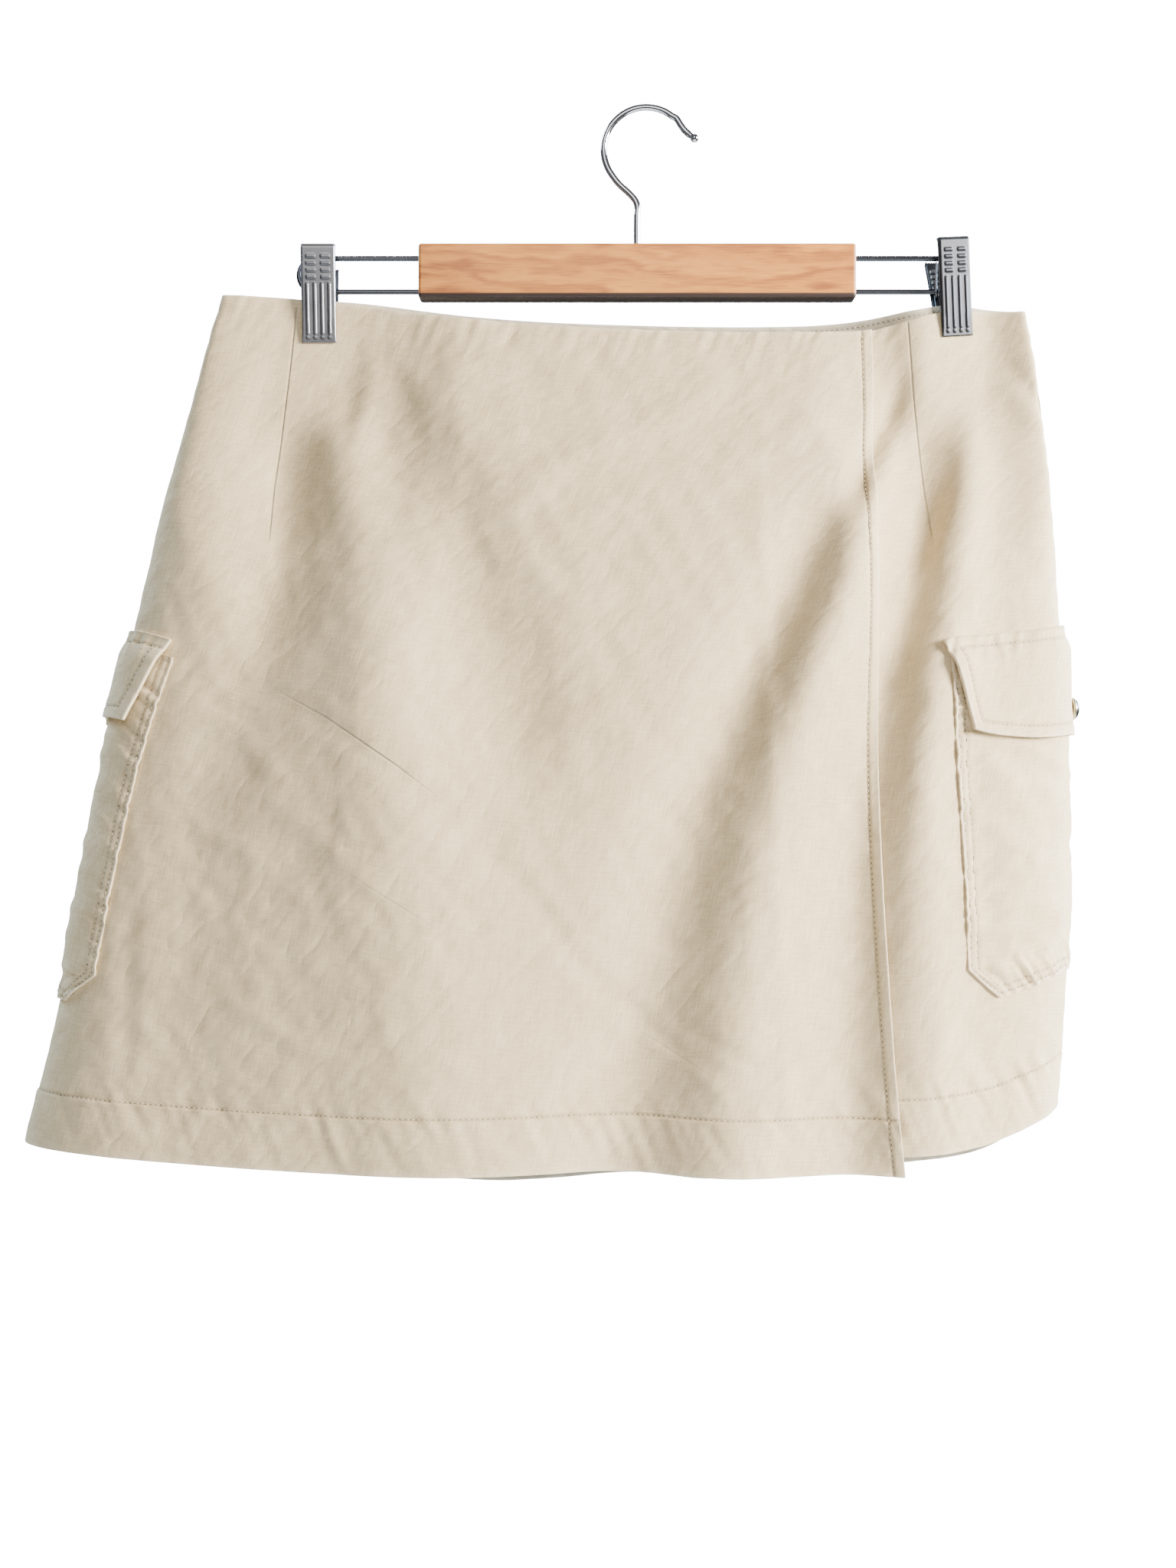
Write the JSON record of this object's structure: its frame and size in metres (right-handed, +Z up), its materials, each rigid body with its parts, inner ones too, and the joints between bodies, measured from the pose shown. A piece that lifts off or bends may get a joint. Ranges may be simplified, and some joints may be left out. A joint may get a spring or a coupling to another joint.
{
  "type": "cargo skirt on clip hanger",
  "caption": "Short wrap-front cargo skirt in twill with flap side pockets, held by the clips of a wood and wire hanger.",
  "frame": {"origin": "inside top of the hanger's hook, straight above its stem, where a rail carries it", "axes": "+X to the viewer's right facing the wrap front, +Y from the front of the skirt to its back, +Z up"},
  "size_m": [0.5499, 0.1194, 0.5718],
  "materials": {
    "cloth": "matt cotton twill",
    "cloth_inside": "matt cotton twill, wrong side",
    "wood": "satin lacquer",
    "steel": "plated, satin",
    "chrome": "polished",
    "aged_brass": "aged, satin"
  },
  "bodies": {
    "root": {"front_wrap": "cloth", "front_under": "cloth", "back": "cloth", "back_facing": "cloth_inside", "pocket_left": "cloth", "pocket_right": "cloth", "flap_left": "cloth", "flap_right": "cloth", "snap_left": "aged_brass", "snap_right": "aged_brass", "rail_left": "steel", "rail_right": "steel", "clip_left_front": "steel", "clip_left_back": "steel", "clip_left_spring": "steel", "clip_right_front": "steel", "clip_right_back": "steel", "clip_right_spring": "steel", "hanger_block": "wood", "hook": "chrome"}
  },
  "joints": []
}
